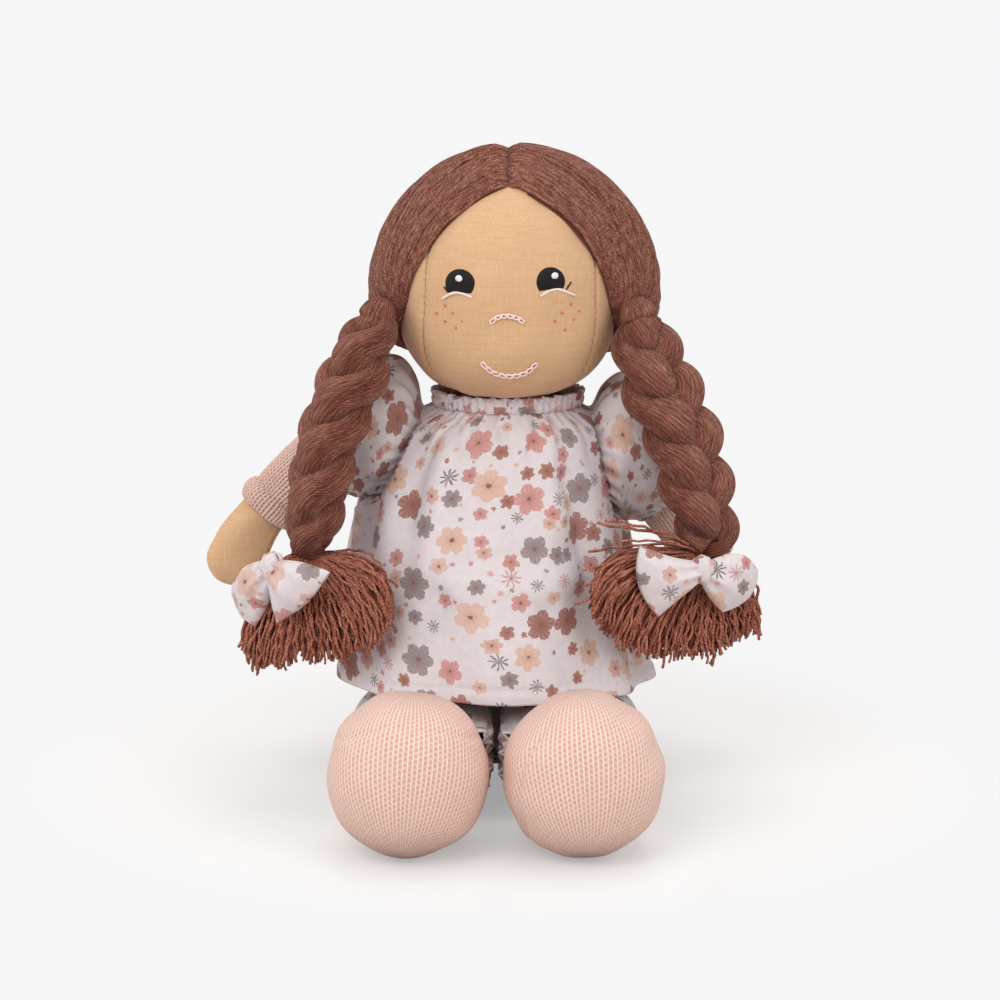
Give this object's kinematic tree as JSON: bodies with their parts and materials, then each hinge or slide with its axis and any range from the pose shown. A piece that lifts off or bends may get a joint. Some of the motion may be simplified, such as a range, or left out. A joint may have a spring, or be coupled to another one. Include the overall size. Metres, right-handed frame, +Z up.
{
  "type": "rag doll",
  "caption": "Seated cloth rag doll with plaited yarn hair, ditsy floral dress and bloomers, knitted undersleeves and socks, and stuffed limbs sewn on at shoulder and hip.",
  "frame": {"origin": "on the floor, on the flat underside of the seat, between the two hips and under the neck", "axes": "+Z up from seat to crown, -Y the way the doll faces and its legs point, +X towards the doll's own left"},
  "size_m": [0.2244, 0.2009, 0.2504],
  "materials": {
    "skin_cotton": "matte",
    "print_cotton": "matte",
    "hair_yarn": "matte",
    "tassel_yarn": "matte",
    "sleeve_knit": "matte",
    "sock_knit": "matte",
    "elastic": "matte"
  },
  "bodies": {
    "body": {"torso": "skin_cotton", "bloomers_seat": "print_cotton", "dress": "print_cotton", "dress_collar": "print_cotton", "puff_sleeve_left": "print_cotton", "puff_sleeve_right": "print_cotton"},
    "head": {"head": "skin_cotton", "hair_left": "hair_yarn", "hair_right": "hair_yarn"},
    "arm_right": {"arm_right": "skin_cotton", "knit_sleeve_right": "sleeve_knit"},
    "leg_right": {"leg_right": "skin_cotton", "sock_right": "sock_knit", "bloomer_leg_right": "print_cotton"},
    "braid_root_right": {"hair_tie_right": "elastic", "hair_hank_right": "hair_yarn"},
    "braid_right": {"braid_strand_1_right": "hair_yarn", "braid_strand_2_right": "hair_yarn", "braid_strand_3_right": "hair_yarn", "braid_end_tie_right": "elastic", "tassel_right": "tassel_yarn", "bow_right": "print_cotton", "bow_knot_right": "print_cotton"},
    "arm_left": {"arm_left": "skin_cotton", "knit_sleeve_left": "sleeve_knit"},
    "leg_left": {"leg_left": "skin_cotton", "sock_left": "sock_knit", "bloomer_leg_left": "print_cotton"},
    "braid_root_left": {"hair_tie_left": "elastic", "hair_hank_left": "hair_yarn"},
    "braid_left": {"braid_strand_1_left": "hair_yarn", "braid_strand_2_left": "hair_yarn", "braid_strand_3_left": "hair_yarn", "braid_end_tie_left": "elastic", "tassel_left": "tassel_yarn", "bow_left": "print_cotton", "bow_knot_left": "print_cotton"}
  },
  "joints": [
    {"name": "head_nod", "type": "hinge", "parent": "body", "child": "head", "pos_m": [0.0015, 0.004, 0.15], "axis": [1, 0, 0], "range_deg": [-8, 8]},
    {"name": "arm_raise_right", "type": "hinge", "parent": "body", "child": "arm_right", "pos_m": [-0.0413, 0.008, 0.136], "axis": [0, 1, 0], "range_deg": [-14, 28], "deforming": ["puff_sleeve_right"]},
    {"name": "arm_raise_left", "type": "hinge", "parent": "body", "child": "arm_left", "pos_m": [0.0443, 0.008, 0.135], "axis": [0, -1, 0], "range_deg": [-6, 62], "deforming": ["puff_sleeve_left"]},
    {"name": "leg_swing_right", "type": "hinge", "parent": "body", "child": "leg_right", "pos_m": [-0.0356, -0.028, 0.0215], "axis": [1, 0, 0], "range_deg": [0, 90]},
    {"name": "leg_swing_left", "type": "hinge", "parent": "body", "child": "leg_left", "pos_m": [0.0292, -0.028, 0.0215], "axis": [1, 0, 0], "range_deg": [0, 90]},
    {"name": "braid_hang_right", "type": "hinge", "parent": "head", "child": "braid_root_right", "pos_m": [-0.05, -0.022, 0.184], "axis": [1, 0, 0], "range_deg": [-14, 14]},
    {"name": "braid_swing_right", "type": "hinge", "parent": "braid_root_right", "child": "braid_right", "pos_m": [-0.05, -0.022, 0.184], "axis": [0, 1, 0], "range_deg": [0, 50]},
    {"name": "braid_hang_left", "type": "hinge", "parent": "head", "child": "braid_root_left", "pos_m": [0.053, -0.022, 0.184], "axis": [1, 0, 0], "range_deg": [-14, 14]},
    {"name": "braid_swing_left", "type": "hinge", "parent": "braid_root_left", "child": "braid_left", "pos_m": [0.053, -0.022, 0.184], "axis": [0, -1, 0], "range_deg": [0, 50]}
  ],
  "couplings": [
    {"joint": "braid_hang_right", "follows": "head_nod", "ratio": -1},
    {"joint": "braid_hang_left", "follows": "head_nod", "ratio": -1}
  ]
}
